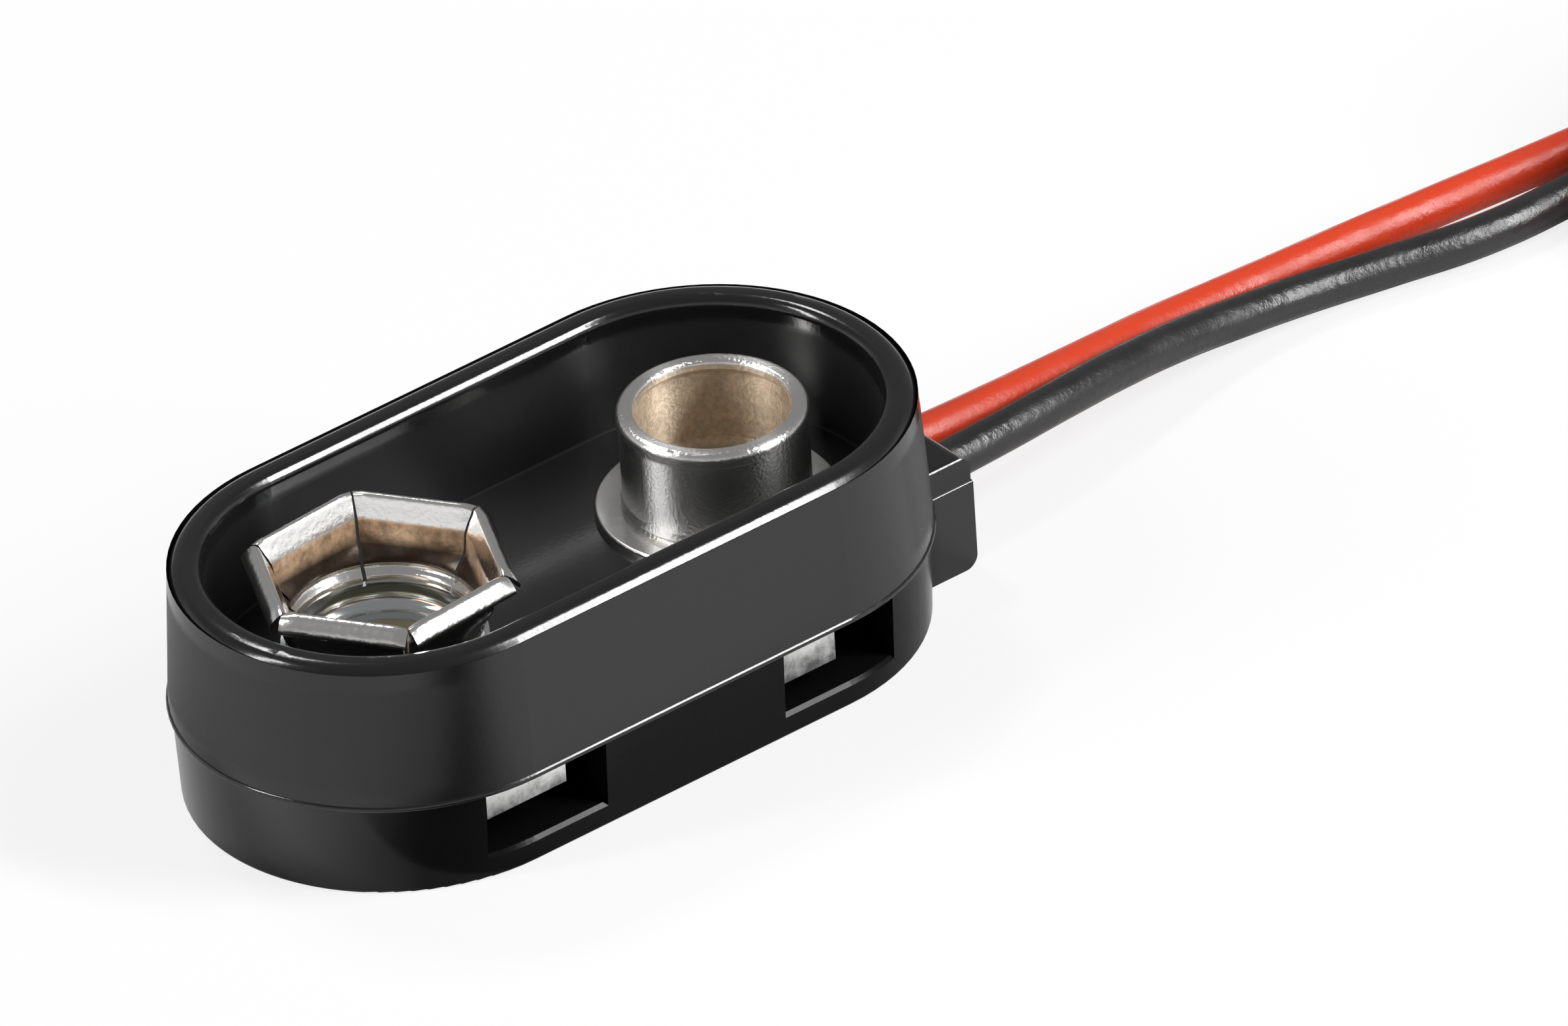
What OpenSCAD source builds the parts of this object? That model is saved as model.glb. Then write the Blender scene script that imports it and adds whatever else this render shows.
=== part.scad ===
// Battery snap: a two-part plastic housing with a six-petal socket, a hollow stud and two leads.
// The origin lies under the point midway between the terminals, +Z points out of the terminals
// and +X points from the socket past the stud to the leads' exit.

/* [Terminals] */
// Distance between the axes of the socket and the stud
terminal_pitch = 12.7; // [12.2:0.1:14]
// Thickness of the contacts' sheet metal
sheet = 0.28; // [0.2:0.01:0.32]
// Height of the stud above the recess floor
stud_h = 3.57; // [3.3:0.05:3.9]
// Outside radius of the stud's rolled head
stud_r = 2.92; // [2.8:0.01:3.1]
// How far the stud's barrel lies inside its head
stud_waist = 0.05; // [0.03:0.01:0.05]
// Inside radius of the stud's rolled mouth
stud_mouth_r = 2.36; // [2.2:0.01:2.4]
// Radius of the washer under the stud
washer_r = 3.74; // [3.5:0.01:4]
// Thickness of the washer under the stud
washer_t = 0.25; // [0.15:0.01:0.3]
// Height of the socket's rolled lips above the recess floor
socket_h = 3.8; // [3.5:0.05:3.95]
// Distance across the socket's lips, from flat to flat
socket_flats = 7.5; // [7.3:0.02:7.9]
// Inside radius of the socket's grip
grip_r = 2.87; // [2.75:0.01:3]
// Radius of each petal's rolled lip
lip_r = 0.26; // [0.24:0.01:0.3]
// Width of the slits between the petals
slit_w = 0.14; // [0.08:0.01:0.25]
// Angle by which the socket's corners are turned from the X axis
socket_turn = 6; // [0:1:30]

/* [Rivets and tags] */
// Outside radius of the tubular rivets
rivet_r = 1.2; // [1:0.05:1.4]
// Wall of the tubular rivets
rivet_wall = 0.25; // [0.2:0.01:0.35]
// Radius of the rivets' heads
rivet_head_r = 1.8; // [1.7:0.05:2]
// Thickness of the rivets' heads
rivet_head_t = 0.28; // [0.2:0.01:0.35]
// Thickness of the tags
tag_t = 0.3; // [0.2:0.01:0.35]
// Radius of the tags' eyes
tag_eye_r = 2.5; // [2.2:0.05:2.7]
// Width of the socket tag's arm, which ends in a window
socket_arm_w = 3; // [2.6:0.05:3.2]
// Width of the stud tag's arm, which ends in a window
stud_arm_w = 2.1; // [1.9:0.05:2.3]
// Place of the socket tag's arm along X, from the socket's axis
socket_arm_x = 0.3; // [0.2:0.05:0.4]
// Place of the stud tag's arm along X, from the stud's axis
stud_arm_x = -1.65; // [-1.75:0.05:-1.4]
// Drop of the socket tag's lip below the seam
socket_lip_drop = 1.15; // [0.8:0.05:1.3]
// Drop of the stud tag's lip below the seam
stud_lip_drop = 1.5; // [0.8:0.05:1.6]
// Length of the solder lugs, from the terminal's axis
lug_len = 3.7; // [3.4:0.05:3.9]
// Width of the solder lugs
lug_w = 1.9; // [1.6:0.05:2.2]
// Sideways place of the stud tag's solder lug
stud_lug_y = -0.6; // [-0.8:0.05:-0.4]

/* [Housing] */
// Height of the whole housing
housing_h = 7.9; // [7.7:0.1:8.6]
// Height of the seam between the lower and the upper shell
seam_h = 3.04; // [2.9:0.02:3.2]
// Thickness of the recess floor above the seam
deck_t = 0.86; // [0.7:0.02:1]
// Half width of the housing over its rim
rim_half_w = 6.5; // [6.4:0.01:6.9]
// Growth of the half width from the rim down to the seam
skirt_draft = 0.26; // [0.1:0.01:0.35]
// Small bead that the upper shell's lower edge stands out by
edge_bead = 0.05; // [0.02:0.01:0.1]
// Step from the upper shell's lower edge in to the lower shell
seam_step = 0.15; // [0.05:0.01:0.25]
// Shrinkage of the half width from the seam down to the base
base_draft = 0.12; // [0.05:0.01:0.2]
// Width of the rim, as seen from above
rim_w = 1.04; // [0.9:0.01:1.2]
// Shrinkage of the recess from the rim down to its floor
recess_draft = 0.05; // [0.02:0.01:0.2]
// Rounding of the rim's outer edge
rim_round = 0.55; // [0.3:0.05:0.65]
// Chamfer between the recess floor and its wall
floor_chamfer = 0.06; // [0.04:0.01:0.1]
// Rounding of the rim's inner edge
rim_inner_round = 0.34; // [0.2:0.01:0.4]
// Rounding of the lower shell's foot
foot_round = 0.12; // [0.05:0.01:0.3]
// Distance from the socket's axis in to the centre of the housing's round end
socket_end_inset = 0.2; // [0.1:0.02:0.5]
// Distance from the stud's axis in to the centre of the housing's round end
stud_end_inset = 0.42; // [0.1:0.02:0.6]
// Thickness of the lower shell's floor
tray_floor = 0.8; // [0.6:0.05:1]
// Thickness of the lower shell's wall
tray_wall = 1.0; // [0.8:0.05:1.2]

/* [Windows] */
// Width of each window in the lower shell's walls
window_w = 4.4; // [4.2:0.05:4.8]
// Distance from each terminal's axis in to the middle of its window
window_inset = 0.75; // [0.65:0.05:0.85]
// Height of the windows' sills above the base
window_sill = 0.82; // [0.81:0.01:1]
// Chamfer along the outer edge of each sill
sill_chamfer = 0.12; // [0.05:0.01:0.15]

/* [Leads and their exit] */
// Distance from the end of the housing's round end to the exit block's face
block_len = 0.8; // [0.5:0.01:1.2]
// Half width of the exit block
block_half_w = 3.25; // [3:0.05:3.6]
// Height of the exit block
block_h = 3.95; // [3.8:0.05:4.2]
// Rounding of the exit block's ends
block_round = 0.45; // [0.2:0.05:0.6]
// Rounding of the exit block's long edges
block_edge_round = 0.12; // [0.05:0.01:0.2]
// Inset of the exit block's upper half
block_inset = 0.05; // [0.02:0.01:0.1]
// Outside diameter of the leads
lead_d = 1.3; // [1.2:0.01:1.34]
// Diameter of the leads' bare cores
core_d = 0.7; // [0.5:0.05:0.8]
// Height of the leads' axes where they pass the exit block
exit_z = 2.15; // [2.1:0.01:2.2]
// Distance of the leads' axes from the middle plane in the exit block
exit_y = 0.82; // [0.78:0.01:0.9]
// Clearance round each lead in its channel
channel_gap = 0.02; // [0.01:0.01:0.05]
// Length of the leads' stripped tips
tip_len = 5; // [3:0.5:7]

/* [Hidden] */
$fn = 64;

// Reach of the cuts beyond the faces that they open
through = 1;
// Heights
deck_z = seam_h + deck_t;
tag_z = seam_h - tag_t;
washer_top = deck_z + washer_t;
// Section of the socket's cup: a rounded bottom, a bead, the grip and the flare of the petals' corners.
// The petals lean out a little up to a bend, and more from there to their rolled lips.
cup_h = 2.15;
cup_corner_r = 0.5;
bead_z = 1.35;
bead_r = 0.42;
bead_back = 0.25;
flare_h = 0.87;
slit_z = 1.05;
petal_set = 0.03;
corner_clearance = 0.1;
lip_fold = 0.1;
flare_drop = 0.85;
petal_lean = 0.12;
// Section of the stud
stud_head_h = 0.5;
stud_round = 0.22;
mouth_round = 0.14;
foot_h = 0.2;
foot_flare = 0.05;
foot_tuck = 0.12;
bore_chamfer = 0.2;
// Bend of the tags' arms and its distance from the housing's outer face
tag_bend_r = 0.15;
lip_inset = 0.55;
// Housing in plan
socket_end_x = -terminal_pitch / 2 + socket_end_inset;
stud_end_x = terminal_pitch / 2 - stud_end_inset;
skirt_r = rim_half_w + skirt_draft;
tray_r = skirt_r + edge_bead - seam_step;
base_r = tray_r - base_draft;
tray_inner_r = tray_r - tray_wall;
recess_r = rim_half_w - rim_w;
window_x = terminal_pitch / 2 - window_inset;
// Bead along the upper shell's lower edge
edge_bead_r = 0.11;
edge_bead_rise = 0.08;
// Chamfer between the lower shell's floor and its wall
tray_chamfer = 0.3;
block_x = stud_end_x + skirt_r + block_len;
// Leads
lead_r = lead_d / 2;
core_r = core_d / 2;
channel_r = lead_r + channel_gap;
channel_x = stud_end_x + tray_inner_r - 1.5;
// Bars under the upper shell that press the leads into their channels
bar_x = stud_end_x + tray_inner_r + 0.3;
bar_len = 0.8;
bar_w = 1;
// Coil of three layers
coil_layers = 3;
turn_gap = 0.03;
coil_h = coil_layers * (lead_d + turn_gap) - turn_gap;
coil_round = 0.4;
// Bare cores and their solder joints under the lugs
core_len = 1.7;
solder_r = 0.9;
// Pegs that hold the shells together
peg_r = 0.6;
peg_gap = 0.02;
boss_wall = 0.4;
boss_r = peg_r + peg_gap + boss_wall;
boss_top_gap = 0.06;
boss_sink = 0.2;
peg_depth = 0.9;
peg_wall_x = tray_inner_r - boss_r - 0.3;
peg_wall_y = tray_inner_r - boss_r + boss_sink;
peg_exit_r = tray_inner_r - 0.3;
peg_exit_angle = 48;
peg_places = concat(
    [[socket_end_x - peg_wall_x, 0]],
    [for (side = [-1, 1]) [0, side * peg_wall_y]],
    [for (side = [-1, 1])
        [stud_end_x + peg_exit_r * cos(peg_exit_angle), side * peg_exit_r * sin(peg_exit_angle)]]
);

// Distance from a terminal's axis to the end of its lead's sheath
joint_reach = 4.45;

// Route of the red lead from its solder joint to the coil
red_route = [
    [joint_reach - terminal_pitch / 2, 0.34, 2.18], [0.4, 0.8, 1.9], [2.8, 1.7, 1.8], [4.8, 2.5, 1.8],
    [7.2, 2.6, 1.85], [9.2, 1.6, 2], [channel_x + 1.1, exit_y, exit_z], [block_x + 0.6, exit_y, exit_z],
    [16.8, 0.87, 2.03], [19.5, 1.16, 1.75], [22, 1.56, 1.4],
    [24.5, 1.96, 1.05], [27, 2.12, 0.8], [29.5, 2.12, 0.67], [32.5, 1.97, lead_r], [36, 1.7, lead_r],
    [39.7, 1.4, lead_r], [43.4, 1.2, lead_r]
];
// Route of the black lead from its solder joint to the coil
black_route = [
    [joint_reach + terminal_pitch / 2, -exit_y, exit_z], [block_x + 0.6, -exit_y, exit_z],
    [16.8, -0.6, 2.08], [19.5, -0.26, 1.95], [22, 0.18, 1.67],
    [24.5, 0.58, 1.3], [27, 0.74, 0.95], [29.5, 0.64, 0.72], [32.5, 0.1, lead_r],
    [35.5, -0.5, lead_r], [38.6, -0.6, lead_r], [41.5, -0.3, lead_r]
];
// Middle of the coil that both leads are wound in
coil_centre = [48, -6.6, 0];
// Radius of the seam between the black and the red turns
coil_seam_r = 7.15;
// Routes of the free tails from the coil down to their stripped tips
red_tail_route = [
    [55.05, -0.69, 3.31], [56.12, -2.28, 2.89], [56.84, -4.06, 1.98], [57.18, -5.96, 1.07],
    [57.11, -7.88, lead_r], [56.93, -8.83, lead_r]
];
black_tail_route = [
    [43.6, -14.45, 3.16], [41.8, -14.9, 2.55], [40, -15.35, 1.5], [38.3, -15.8, lead_r],
    [37.2, -16.05, lead_r]
];

// What a rounded corner leaves of its square, with the round's centre at the origin
module corner_waste(r) {
    overlap = 0.01;
    difference() {
        square(r + overlap);
        circle(r);
    }
}

// Sweeps the children, drawn as radius and height, round the housing's stadium
module stadium_sweep() {
    translate([stud_end_x, 0, 0])
        rotate([0, 0, -90]) rotate_extrude(angle = 180) children();
    translate([socket_end_x, 0, 0])
        rotate([0, 0, 90]) rotate_extrude(angle = 180) children();
    translate([socket_end_x, 0, 0]) rotate([90, 0, 90])
        linear_extrude(stud_end_x - socket_end_x) {
            children();
            mirror([1, 0]) children();
        }
}

// Outer half section of the upper shell, with a rounded rim and a small bead along its lower edge
module upper_outline() {
    difference() {
        union() {
            polygon([[0, seam_h], [skirt_r, seam_h], [rim_half_w, housing_h], [0, housing_h]]);
            translate([skirt_r + edge_bead - edge_bead_r, seam_h + edge_bead_rise]) circle(edge_bead_r);
        }
        translate([rim_half_w - rim_round, housing_h - rim_round]) corner_waste(rim_round);
        translate([0, seam_h - through]) square([2 * skirt_r, through]);
    }
}

// Half section of the recess, which flares round the rim's inner edge
module recess_outline() {
    floor_r = recess_r - recess_draft;
    flare_z = housing_h - rim_inner_round;
    polygon([
        [0, deck_z], [floor_r - floor_chamfer, deck_z], [floor_r, deck_z + floor_chamfer],
        [recess_r, flare_z], [recess_r, housing_h + through], [0, housing_h + through]
    ]);
    translate([recess_r + rim_inner_round, flare_z]) rotate(90) corner_waste(rim_inner_round);
}

// Half of the exit block between two heights, drawn by its side view and rounded along its long top edges
module exit_block(half_w, z0, z1, edge_round) {
    reach = block_x + through;
    intersection() {
        rotate([90, 0, 0]) linear_extrude(2 * half_w, center = true) children();
        rotate([90, 0, 90]) linear_extrude(reach)
            for (side = [0, 1]) mirror([side, 0]) difference() {
                translate([0, z0]) square([half_w, z1 - z0]);
                translate([half_w - edge_round, z1 - edge_round]) corner_waste(edge_round);
            }
    }
}

// Side view of the exit block, which is rounded where it ends
module block_outline(z0, z1, x1, low_round, high_round) {
    difference() {
        translate([stud_end_x, z0]) square([x1 - stud_end_x, z1 - z0]);
        if (low_round > 0)
            translate([x1 - low_round, z0 + low_round]) mirror([0, 1]) corner_waste(low_round);
        if (high_round > 0)
            translate([x1 - high_round, z1 - high_round]) corner_waste(high_round);
    }
}

module pegs(r, z0, z1) {
    for (p = peg_places)
        translate([p[0], p[1], z0]) cylinder(h = z1 - z0, r = r);
}

module rivet_holes() {
    for (side = [-1, 1])
        translate([side * terminal_pitch / 2, 0, seam_h - through])
            cylinder(h = deck_t + 2 * through, r = rivet_r);
}

module upper_shell() {
    root = 0.2;
    color([0.09, 0.09, 0.09]) difference() {
        union() {
            difference() {
                union() {
                    stadium_sweep() upper_outline();
                    exit_block(block_half_w - block_inset, seam_h, block_h, block_edge_round)
                        block_outline(seam_h, block_h, block_x - block_inset, 0, block_round);
                }
                stadium_sweep() recess_outline();
            }
            pegs(peg_r, seam_h - peg_depth, seam_h + root);
            for (side = [-1, 1])
                translate([bar_x, side * exit_y - bar_w / 2, exit_z + lead_r])
                    cube([bar_len, bar_w, seam_h - exit_z - lead_r + root]);
        }
        rivet_holes();
    }
}

module tray_outline() {
    difference() {
        polygon([[0, 0], [base_r, 0], [tray_r, seam_h], [0, seam_h]]);
        translate([base_r - foot_round, foot_round]) mirror([0, 1]) corner_waste(foot_round);
    }
}

module tray_cavity_outline() {
    polygon([
        [0, tray_floor], [tray_inner_r - tray_chamfer, tray_floor],
        [tray_inner_r, tray_floor + tray_chamfer], [tray_inner_r, seam_h + through], [0, seam_h + through]
    ]);
}

// Channel of one lead through the exit block, round below and open to the seam
module lead_channel(y) {
    channel_len = block_x - channel_x + through;
    translate([channel_x, y, exit_z]) rotate([0, 90, 0]) cylinder(h = channel_len, r = channel_r);
    translate([channel_x, y - channel_r, exit_z])
        cube([channel_len, 2 * channel_r, seam_h - exit_z + through]);
}

// Section of what the sills' chamfers take off the lower shell's wall
module sill_waste() {
    wall_r = base_r + base_draft * window_sill / seam_h;
    reach = sill_chamfer / 2;
    polygon([
        [wall_r - sill_chamfer - reach, window_sill + reach], [wall_r + reach, window_sill + reach],
        [wall_r + reach, window_sill - sill_chamfer - reach]
    ]);
}

// One window through a side wall, open up to the seam, with a chamfered sill
module window(x, side) {
    inner_y = tray_inner_r - tray_chamfer - 0.1;
    wall_y = side > 0 ? inner_y : -tray_r - through;
    depth = tray_r + through - inner_y;
    translate([x - window_w / 2, wall_y, window_sill]) cube([window_w, depth, seam_h]);
    intersection() {
        stadium_sweep() sill_waste();
        translate([x - window_w / 2, wall_y, 0]) cube([window_w, depth, seam_h]);
    }
}

module lower_shell() {
    color([0.07, 0.07, 0.07]) difference() {
        union() {
            difference() {
                union() {
                    stadium_sweep() tray_outline();
                    exit_block(block_half_w, 0, seam_h, block_inset)
                        block_outline(0, seam_h, block_x, block_round, 0);
                }
                stadium_sweep() tray_cavity_outline();
            }
            intersection() {
                pegs(boss_r, tray_floor / 2, seam_h - boss_top_gap);
                stadium_sweep() tray_outline();
            }
        }
        pegs(peg_r + peg_gap, seam_h - peg_depth - boss_top_gap, seam_h + through);
        for (side = [-1, 1]) {
            lead_channel(side * exit_y);
            for (x = [-window_x, window_x])
                window(x, side);
        }
    }
}

// Half section of the space inside the socket's sheet, or of its outside when grown by the sheet
module cup_half(grow, flare_r, top) {
    corner_r = cup_corner_r + grow;
    bottom = sheet - grow;
    difference() {
        polygon([
            [0, bottom], [grip_r + grow, bottom], [grip_r + grow, cup_h],
            [flare_r + grow, cup_h + flare_h], [flare_r + grow, top], [0, top]
        ]);
        translate([grip_r + grow - corner_r, bottom + corner_r]) mirror([0, 1]) corner_waste(corner_r);
        translate([grip_r + bead_back, bead_z]) circle(bead_r - grow);
    }
}

// One slab of the socket's hexagon, symmetric about the axis
module hex_slab(outline) {
    rotate([90, 0, 0])
        linear_extrude(4 * socket_flats, center = true) {
            polygon(outline);
            mirror([1, 0]) polygon(outline);
        }
}

module hex_body(outline) {
    intersection() {
        hex_slab(outline);
        rotate([0, 0, 60]) hex_slab(outline);
        rotate([0, 0, 120]) hex_slab(outline);
    }
}

// Round cup whose flare is cut by a hexagon's leaning flats, which leaves six flat petals above it
module petal_cup(grow, top) {
    lip_z = socket_h - lip_r;
    petal_r = socket_flats / 2 - 2 * lip_r + petal_set;
    flat_r = grip_r + petal_set + grow;
    intersection() {
        rotate_extrude() cup_half(grow, petal_r / cos(30) + corner_clearance, top);
        hex_body([
            [0, -through], [flat_r, -through], [flat_r, cup_h], [flat_r + petal_lean, socket_h - flare_drop],
            [petal_r + grow, lip_z - lip_fold], [petal_r + grow, top], [0, top]
        ]);
    }
}

// Rolled lips along the six petals, each mitred where it meets its neighbours
module lips() {
    lip_x = socket_flats / 2 - lip_r;
    wedge = socket_flats * tan(30);
    for (k = [0:5])
        rotate([0, 0, 60 * k]) intersection() {
            translate([lip_x, 0, socket_h - lip_r]) rotate([90, 0, 0])
                cylinder(h = 2 * socket_flats, r = lip_r, center = true);
            linear_extrude(2 * socket_h) polygon([[0, 0], [socket_flats, wedge], [socket_flats, -wedge]]);
        }
}

// Slits between the petals
module petal_slits() {
    for (k = [0:5])
        rotate([0, 0, 60 * k + 30]) translate([rivet_head_r, -slit_w / 2, slit_z])
            cube([socket_flats, slit_w, socket_h]);
}

// Six-petal socket, pressed from one sheet
module socket_contact() {
    color([0.8, 0.8, 0.8])
    translate([-terminal_pitch / 2, 0, deck_z]) rotate([0, 0, socket_turn + 30]) union() {
        difference() {
            petal_cup(sheet, socket_h - lip_r);
            petal_cup(0, socket_h + through);
            petal_slits();
            translate([0, 0, -through]) cylinder(h = 2 * through, r = rivet_r);
        }
        difference() {
            lips();
            petal_cup(0, socket_h + through);
            petal_slits();
        }
    }
}

// Hollow stud: a barrel on a short foot, with a head rolled in to a mouth
module stud_contact() {
    top = deck_z + stud_h;
    barrel_r = stud_r - stud_waist;
    bore_r = barrel_r - sheet;
    neck_z = top - stud_head_h;
    floor_z = washer_top + sheet;
    color([0.8, 0.8, 0.8])
    translate([terminal_pitch / 2, 0, 0]) rotate_extrude() difference() {
        polygon([
            [rivet_r, washer_top], [barrel_r - foot_tuck, washer_top],
            [barrel_r + foot_flare, washer_top + foot_h], [barrel_r, washer_top + 2 * foot_h],
            [barrel_r, neck_z], [stud_r, neck_z + stud_waist], [stud_r, top],
            [stud_mouth_r, top], [stud_mouth_r, top - sheet], [bore_r, top - 2 * sheet],
            [bore_r, floor_z + bore_chamfer], [bore_r - bore_chamfer, floor_z], [rivet_r, floor_z]
        ]);
        translate([stud_r - stud_round, top - stud_round]) corner_waste(stud_round);
        translate([stud_mouth_r + mouth_round, top - mouth_round]) mirror([1, 0]) corner_waste(mouth_round);
    }
}

module stud_washer() {
    edge = washer_t * 0.4;
    color([0.8, 0.8, 0.8]) translate([terminal_pitch / 2, 0, 0]) rotate_extrude() difference() {
        translate([rivet_r, deck_z]) square([washer_r - rivet_r, washer_t]);
        translate([washer_r - edge, washer_top - edge]) corner_waste(edge);
    }
}

// Tubular rivet from its rolled head at z1 down to its clinched head under the tag
module rivet(x, z1) {
    z0 = tag_z - rivet_head_t;
    bore_r = rivet_r - rivet_wall;
    head_round = rivet_head_t * 0.6;
    color([0.75, 0.65, 0.42]) translate([x, 0, 0]) rotate_extrude() difference() {
        union() {
            translate([bore_r, z0]) square([rivet_wall, z1 - z0]);
            translate([bore_r, z0]) square([rivet_head_r - bore_r, rivet_head_t]);
            translate([bore_r, z1 - rivet_head_t]) square([rivet_head_r - bore_r, rivet_head_t]);
        }
        translate([rivet_head_r - head_round, z1 - head_round]) corner_waste(head_round);
        translate([rivet_head_r - head_round, z0 + head_round]) mirror([0, 1]) corner_waste(head_round);
        translate([bore_r + head_round, z1 - head_round]) mirror([1, 0]) corner_waste(head_round);
    }
}

module socket_rivet() {
    rivet(-terminal_pitch / 2, deck_z + sheet + rivet_head_t);
}

module stud_rivet() {
    rivet(terminal_pitch / 2, washer_top + sheet + rivet_head_t);
}

// Side view of a tag's arm, which runs out along -X and turns down through the rounded bend of its lip
module arm_outline(drop) {
    reach = tray_r - lip_inset;
    outer_bend = tag_bend_r + tag_t;
    difference() {
        translate([-reach, seam_h - drop]) square([reach, drop]);
        translate([-reach + outer_bend, seam_h - outer_bend]) mirror([1, 0]) corner_waste(outer_bend);
        difference() {
            translate([-reach + tag_t, seam_h - drop - through]) square([reach, drop + through - tag_t]);
            translate([-reach + outer_bend, seam_h - outer_bend]) mirror([1, 0]) corner_waste(tag_bend_r);
        }
    }
}

// Tag under the recess floor: an eye round the rivet, a solder lug and an arm that ends in a window
module tag(x, arm_x, arm_w, drop, lug_y) {
    color([0.8, 0.8, 0.78]) translate([x, 0, 0]) difference() {
        union() {
            translate([0, 0, tag_z]) cylinder(h = tag_t, r = tag_eye_r);
            translate([0, lug_y - lug_w / 2, tag_z]) cube([lug_len, lug_w, tag_t]);
            translate([arm_x - arm_w / 2, 0, 0]) rotate([90, 0, 90]) linear_extrude(arm_w) arm_outline(drop);
        }
        translate([0, 0, tag_z - through]) cylinder(h = tag_t + 2 * through, r = rivet_r);
    }
}

module socket_tag() {
    tag(-terminal_pitch / 2, socket_arm_x, socket_arm_w, socket_lip_drop, 0);
}

module stud_tag() {
    tag(terminal_pitch / 2, stud_arm_x, stud_arm_w, stud_lip_drop, stud_lug_y);
}

function unit(v) = v / norm(v);
function heading(p, i) = unit(p[min(i + 1, len(p) - 1)] - p[max(i - 1, 0)]);
function ring(p, i, r, sides) =
    let (ahead = heading(p, i), across = unit(cross(ahead, [0, 0, 1])), up = cross(across, ahead))
    [for (k = [0:sides - 1]) let (a = 360 * (k + 0.5) / sides) p[i] + r * (cos(a) * across + sin(a) * up)];

// Tube of radius r along the points of a route, closed at both ends
module tube(p, r) {
    sides = 8;
    last = len(p) - 1;
    polyhedron(
        points = [for (i = [0:last]) each ring(p, i, r, sides)],
        faces = concat(
            [[for (k = [0:sides - 1]) k]],
            [for (i = [0:last - 1], k = [0:sides - 1])
                let (a = i * sides, b = a + sides, n = (k + 1) % sides) [a + k, b + k, b + n, a + n]],
            [[for (k = [sides - 1:-1:0]) last * sides + k]]
        )
    );
}

// Closed ring that holds one lead's turns
module coil(r0, r1) {
    translate(coil_centre) rotate_extrude() difference() {
        translate([r0, 0]) square([r1 - r0, coil_h]);
        translate([r1 - coil_round, coil_h - coil_round]) corner_waste(coil_round);
        translate([r0 + coil_round, coil_h - coil_round]) mirror([1, 0]) corner_waste(coil_round);
    }
}

// Straight bar of the bare core, from a point along a direction
module bare_core(from, way, length) {
    translate(from) rotate([0, acos(way[2]), atan2(way[1], way[0])]) cylinder(h = length, r = core_r);
}

// Stripped end that carries on from a tail
module tip(route) {
    last = len(route) - 1;
    bare_core(route[last], heading(route, last), tip_len);
}

// Bare core from a lead's first point back to the underside of a solder lug
module core(route) {
    bare_core(route[0], -heading(route, 0), core_len);
}

// Drop of solder under a lug, closed round the core's end
module solder(route) {
    end = route[0] - core_len * heading(route, 0);
    difference() {
        intersection() {
            translate([end[0], end[1], tag_z]) sphere(solder_r);
            translate([end[0] - solder_r, end[1] - solder_r, tag_z - solder_r])
                cube([2 * solder_r, 2 * solder_r, solder_r]);
        }
        core(route);
    }
}

module red_lead() {
    color([0.92, 0.25, 0.12]) tube(red_route, lead_r);
}

module red_core() {
    color([0.8, 0.5, 0.35]) core(red_route);
}

module red_solder() {
    color([0.75, 0.75, 0.75]) solder(red_route);
}

module red_coil() {
    color([0.92, 0.25, 0.12]) coil(coil_seam_r, coil_seam_r + lead_d);
}

module red_tail() {
    color([0.92, 0.25, 0.12]) tube(red_tail_route, lead_r);
}

module red_tip() {
    color([0.8, 0.8, 0.8]) tip(red_tail_route);
}

module black_lead() {
    color([0.08, 0.08, 0.08]) tube(black_route, lead_r);
}

module black_core() {
    color([0.8, 0.5, 0.35]) core(black_route);
}

module black_solder() {
    color([0.75, 0.75, 0.75]) solder(black_route);
}

module black_coil() {
    color([0.08, 0.08, 0.08]) coil(coil_seam_r - lead_d, coil_seam_r);
}

module black_tail() {
    color([0.08, 0.08, 0.08]) tube(black_tail_route, lead_r);
}

module black_tip() {
    color([0.8, 0.8, 0.8]) tip(black_tail_route);
}

upper_shell();
lower_shell();
socket_contact();
socket_rivet();
socket_tag();
stud_contact();
stud_washer();
stud_rivet();
stud_tag();
red_lead();
red_core();
red_solder();
red_coil();
red_tail();
red_tip();
black_lead();
black_core();
black_solder();
black_coil();
black_tail();
black_tip();
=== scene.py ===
import math

import bpy
from mathutils import Matrix, Vector


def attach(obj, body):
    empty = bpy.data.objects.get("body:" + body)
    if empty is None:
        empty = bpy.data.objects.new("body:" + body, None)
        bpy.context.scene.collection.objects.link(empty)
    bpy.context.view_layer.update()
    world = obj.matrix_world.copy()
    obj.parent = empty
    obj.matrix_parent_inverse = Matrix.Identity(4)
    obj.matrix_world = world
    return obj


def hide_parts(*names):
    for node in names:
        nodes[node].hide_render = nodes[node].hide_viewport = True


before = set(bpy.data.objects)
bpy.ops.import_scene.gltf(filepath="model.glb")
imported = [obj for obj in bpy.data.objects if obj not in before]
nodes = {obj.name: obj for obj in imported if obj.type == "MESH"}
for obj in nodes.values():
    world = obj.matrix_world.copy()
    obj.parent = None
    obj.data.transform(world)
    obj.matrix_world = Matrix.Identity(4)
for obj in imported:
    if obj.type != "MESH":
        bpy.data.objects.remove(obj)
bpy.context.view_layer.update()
bpy.ops.object.select_all(action="DESELECT")

# The camera. A long lens far away, 37 degrees round from the front towards the socket's end and 33
# degrees above the table, with the socket in front and the leads running out at the right.
camera_data = bpy.data.cameras.new("camera")
camera = bpy.data.objects.new("camera", camera_data)
bpy.context.scene.collection.objects.link(camera)
camera.matrix_world = Matrix((
    (0.775791, 0.379010, -0.504479, -0.541618),
    (-0.628673, 0.395831, -0.669393, -0.730314),
    (-0.054018, 0.836462, 0.545356, 0.597458),
    (0.0, 0.0, 0.0, 1.0),
))
camera_data.sensor_fit = "HORIZONTAL"
camera_data.sensor_width = 36.0
camera_data.lens = 835.316
camera_data.clip_start = 0.05
camera_data.clip_end = 20.0
bpy.context.scene.camera = camera

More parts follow.
